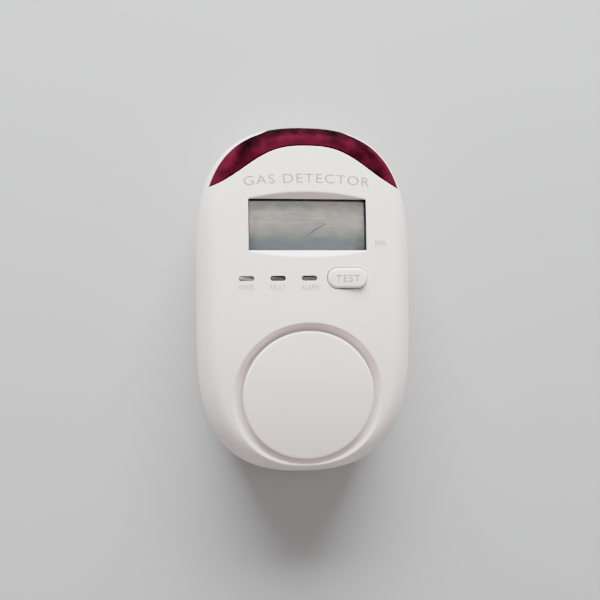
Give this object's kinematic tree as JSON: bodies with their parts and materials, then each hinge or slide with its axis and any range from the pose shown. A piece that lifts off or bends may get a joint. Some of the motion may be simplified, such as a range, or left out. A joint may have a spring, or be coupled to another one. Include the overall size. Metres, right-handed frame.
{
  "type": "carbon monoxide detector",
  "caption": "Battery-powered carbon monoxide detector with a display window, self-test button, round sounder cover, red alarm lens and a hinged battery door at the back.",
  "frame": {"origin": "centre of the flat back face, which rests on the wall or on a table", "axes": "+X to the right seen from the front, +Y towards the red alarm lens, +Z out of the front face"},
  "size_m": [0.072, 0.115, 0.0398],
  "materials": {
    "white_shell": "fine satin moulding, warm white",
    "white_trim": "satin moulding, warm white",
    "red_lens": "dark ruby translucent lens",
    "clear_window": "clear, glossy",
    "display_glass": "grey-green reflective liquid crystal glass, blank",
    "inner_plastic": "plain white moulding",
    "zebra_rubber": "soft striped contact rubber",
    "green_lens": "pale green lens, unlit",
    "smoked_lens": "grey lens, unlit",
    "circuit_board": "green solder mask",
    "black_plastic": "moulded black",
    "sensor_can": "satin metal can",
    "steel": "bright plated steel",
    "cell_jacket": "plain dark printed jacket",
    "red_wire": "insulated wire",
    "black_wire": "insulated wire"
  },
  "bodies": {
    "case": {"front_cover": "white_shell", "rear_cover": "white_shell", "sounder_cap": "white_trim", "alarm_lens": "red_lens", "alarm_led_left": "red_lens", "alarm_led_right": "red_lens", "display_window": "clear_window", "lcd_panel": "display_glass", "lcd_holder": "inner_plastic", "lcd_contact_strip_upper": "zebra_rubber", "lcd_contact_strip_lower": "zebra_rubber", "light_pipe_power": "green_lens", "indicator_led_power": "green_lens", "light_pipe_fault": "smoked_lens", "light_pipe_alarm": "smoked_lens", "indicator_led_fault": "smoked_lens", "indicator_led_alarm": "smoked_lens", "circuit_board": "circuit_board", "tactile_switch": "black_plastic", "sounder": "black_plastic", "storage_capacitor": "black_plastic", "sounder_coil": "black_plastic", "microcontroller": "black_plastic", "sensor_amplifier": "black_plastic", "co_sensor": "sensor_can", "clock_crystal": "steel", "battery_spring_1": "steel", "battery_spring_2": "steel", "battery_spring_3": "steel", "contact_positive": "steel", "contact_negative": "steel", "contact_bridge_upper": "steel", "contact_bridge_lower": "steel", "case_screw_1": "steel", "case_screw_2": "steel", "case_screw_3": "steel", "case_screw_4": "steel", "board_screw_1": "steel", "board_screw_2": "steel", "battery_cell_1": "cell_jacket", "battery_cell_2": "cell_jacket", "battery_cell_3": "cell_jacket", "battery_lead_red": "red_wire", "battery_lead_black": "black_wire"},
    "button": {"self_test_button": "white_trim"},
    "plunger": {"switch_plunger": "black_plastic"},
    "door": {"battery_door": "white_shell"}
  },
  "joints": [
    {"name": "self_test_button_press", "type": "slide", "parent": "case", "child": "button", "axis": [0, 0, -1], "range_m": [0, 0.0006], "stiffness_N_per_m": 600, "springref_m": -0.0005},
    {"name": "switch_plunger_press", "type": "slide", "parent": "case", "child": "plunger", "axis": [0, 0, -1], "range_m": [0, 0.0003]},
    {"name": "battery_door_hinge", "type": "hinge", "parent": "case", "child": "door", "pos_m": [0, 0.025, 0.0003], "axis": [1, 0, 0], "range_deg": [0, 80]}
  ],
  "couplings": [
    {"joint": "switch_plunger_press", "follows": "self_test_button_press", "ratio": 0.4}
  ]
}
